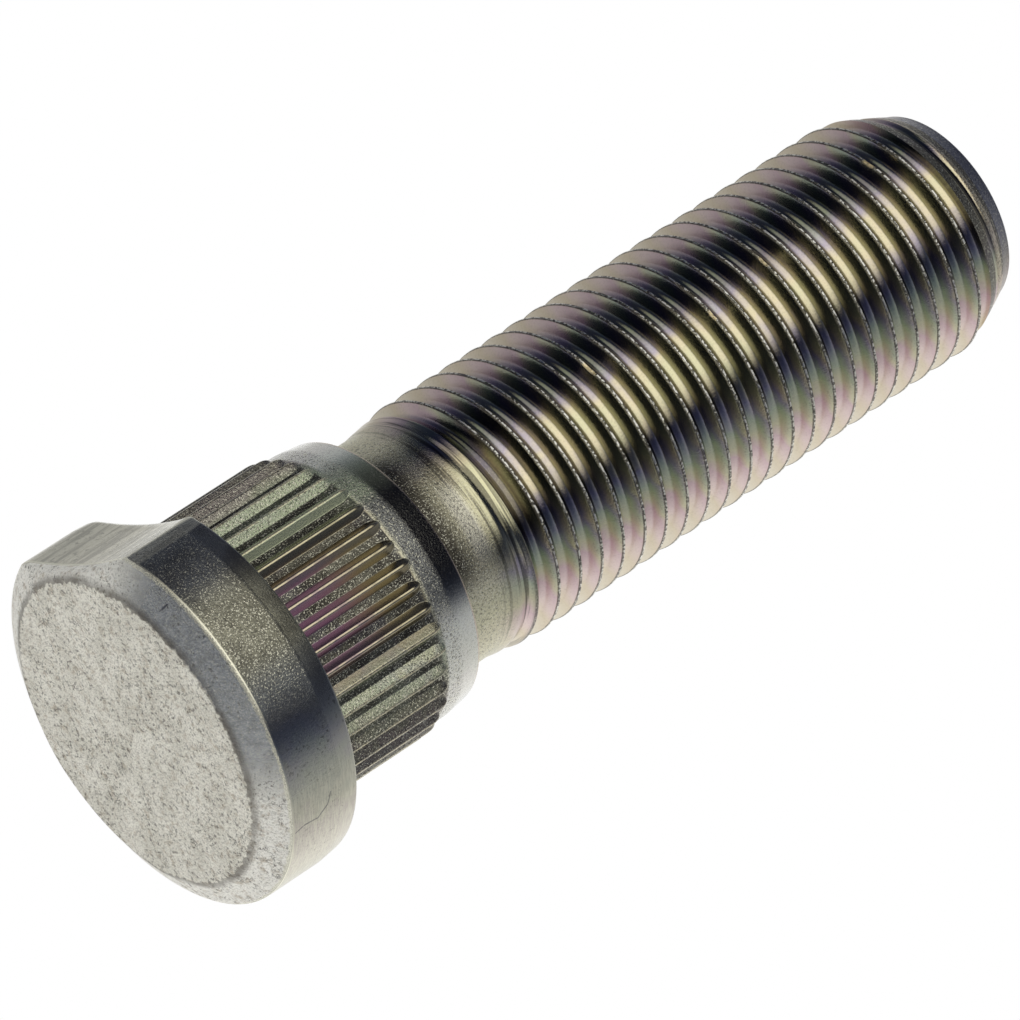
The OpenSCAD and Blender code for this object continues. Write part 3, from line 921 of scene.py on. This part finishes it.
# The stud hangs between a white table and a dark room, with a soft box above it. Directions are azimuth
# and elevation. The camera looks up at the head's face, so the floor shows only from above
studio = {
    "room": (-42, 0),
    # cosine to the room's middle, level and tint
    "levels": [
        (-1.00, 1.05, (1.0, 0.985, 0.95)), (-0.84, 0.95, (1.0, 0.985, 0.95)),
        (-0.70, 0.70, (1.0, 0.985, 0.95)), (-0.50, 0.47, (1.0, 0.98, 0.95)),
        (-0.22, 0.38, (0.98, 0.99, 1.0)), (-0.06, 0.27, (0.96, 0.98, 1.03)),
        (0.08, 0.18, (0.88, 0.96, 1.15)), (0.22, 0.08, (0.82, 0.93, 1.35)),
        (0.37, 0.035, (0.75, 0.9, 1.6)), (0.55, 0.018, (0.7, 0.85, 1.8)), (1.00, 0.012, (0.6, 0.8, 1.9)),
    ],
    # the soft box as a side, with the elevations of its top and foot: where it ends and is full
    "box": (-27, 6, 44), "boxTop": (38, 34), "boxFoot": (-75, -38), "boxLevel": (1.08, 1.05, 0.96),
    "lowBox": (-58, -8), "lowBoxEdge": (34, 14), "lowBoxLevel": (0.36, 0.34, 0.3),
    "backdrop": (163, 30), "backdropEdge": (25, 14),
    "dome": 0.9, "floorWhite": 0.97, "floorRadius": 0.2, "floorFade": (0.06, 0.18), "floorSides": 96,
    "floorHeight": -0.05,
}


def studioWorld():
    world = bpy.data.worlds.new("studio")
    scene.world = world
    world.use_nodes = True
    tree = world.node_tree
    tree.nodes.clear()
    ray = out(put(tree, "ShaderNodeTexCoord"), "Generated")

    def towards(name):
        return vectors(tree, "DOT_PRODUCT", ray, direction(*studio[name]), result="Value")

    def lobe(name):  # 1 towards a direction, fading to 0 between the angles of its edge
        return ramp(tree, towards(name), *(np.cos(e * deg) for e in studio[name + "Edge"]))

    rows = [(0.5 + 0.5 * place, [level * c for c in tint]) for place, level, tint in studio["levels"]]
    lit = colourRamp(tree, scaled(tree, towards("room"), 0.5, 0.5), rows)
    high = coordinate(tree, ray, "Z")
    under, over = (
        ramp(tree, high, *(np.sin(e * deg) for e in studio[name])) for name in ("boxTop", "boxFoot"))
    lit = blendColours(tree, product(tree, lobe("lowBox"), under), lit, studio["lowBoxLevel"])
    strip = product(tree, onSide(tree, ray, *studio["box"]), under, over)
    lit = blendColours(tree, strip, lit, studio["boxLevel"])
    path = put(tree, "ShaderNodeLightPath")
    lit = blendColours(tree, out(path, "Is Diffuse Ray"), lit, (studio["dome"],) * 3)
    backdrop = product(tree, out(path, "Is Glossy Ray"), lobe("backdrop"))  # the metal shows it too
    seen = most(tree, out(path, "Is Camera Ray"), out(path, "Is Transmission Ray"), backdrop)
    background = put(tree, "ShaderNodeBackground", {"Color": blendColours(tree, seen, lit, (1.0, 1.0, 1.0))})
    tree.links.new(out(background), put(tree, "ShaderNodeOutputWorld").inputs["Surface"])


# A pale disc just under the head, which fades to the white of the world at its edge
def studioFloor():
    sides = studio["floorSides"]
    turns = np.linspace(0, 2 * np.pi, sides, endpoint=False)
    radii = studio["floorRadius"] * np.array([0.1, 0.25, 0.5, 0.75, 1.0])
    ring = np.stack([np.cos(turns), np.sin(turns), 0 * turns], -1)
    places = np.concatenate([np.zeros((1, 3)), (radii[:, None, None] * ring).reshape(-1, 3)])
    places[:, 2] = studio["floorHeight"] * mm
    index = 1 + np.arange(len(radii) * sides).reshape(-1, sides)
    after = np.roll(index, -1, 1)
    fan = np.stack([np.zeros(sides, int), index[0], after[0]], -1)
    bands = np.stack([index[:-1], index[1:], after[1:], after[:-1]], -1).reshape(-1, 4)
    floorMesh = bpy.data.meshes.new("floor")
    floorMesh.from_pydata(places, [], fan.tolist() + bands.tolist())
    floorObject = bpy.data.objects.new("floor", floorMesh)
    scene.collection.objects.link(floorObject)
    for kind in ("glossy", "diffuse", "transmission", "shadow"):
        setattr(floorObject, "visible_" + kind, False)
    material = bpy.data.materials.new("floorPaper")
    material.use_nodes = True
    tree = material.node_tree
    tree.nodes.clear()
    position = out(put(tree, "ShaderNodeTexCoord"), "Object")
    far = vectors(tree, "LENGTH", position, result="Value")
    paper = noise(tree, position, 1.5, 2, 0.5)
    white = studio["floorWhite"]
    shade = blendColours(tree, paper, (white - 0.01,) * 3, (white + 0.01,) * 3)
    diffuse = put(tree, "ShaderNodeBsdfDiffuse", {"Color": shade})
    glow = put(tree, "ShaderNodeEmission", {"Color": (1.0, 1.0, 1.0)})
    fade = ramp(tree, far, *studio["floorFade"])
    faded = put(tree, "ShaderNodeMixShader", {0: fade, 1: out(diffuse), 2: out(glow)})
    clear = put(tree, "ShaderNodeBsdfTransparent")
    fromBelow = out(put(tree, "ShaderNodeNewGeometry"), "Backfacing")
    shown = put(tree, "ShaderNodeMixShader", {0: fromBelow, 1: out(faded), 2: out(clear)})
    tree.links.new(out(shown), put(tree, "ShaderNodeOutputMaterial").inputs["Surface"])
    floorMesh.materials.append(material)
    floorObject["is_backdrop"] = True


studioWorld()
studioFloor()
scene.view_settings.view_transform = "Standard"

low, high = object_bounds()
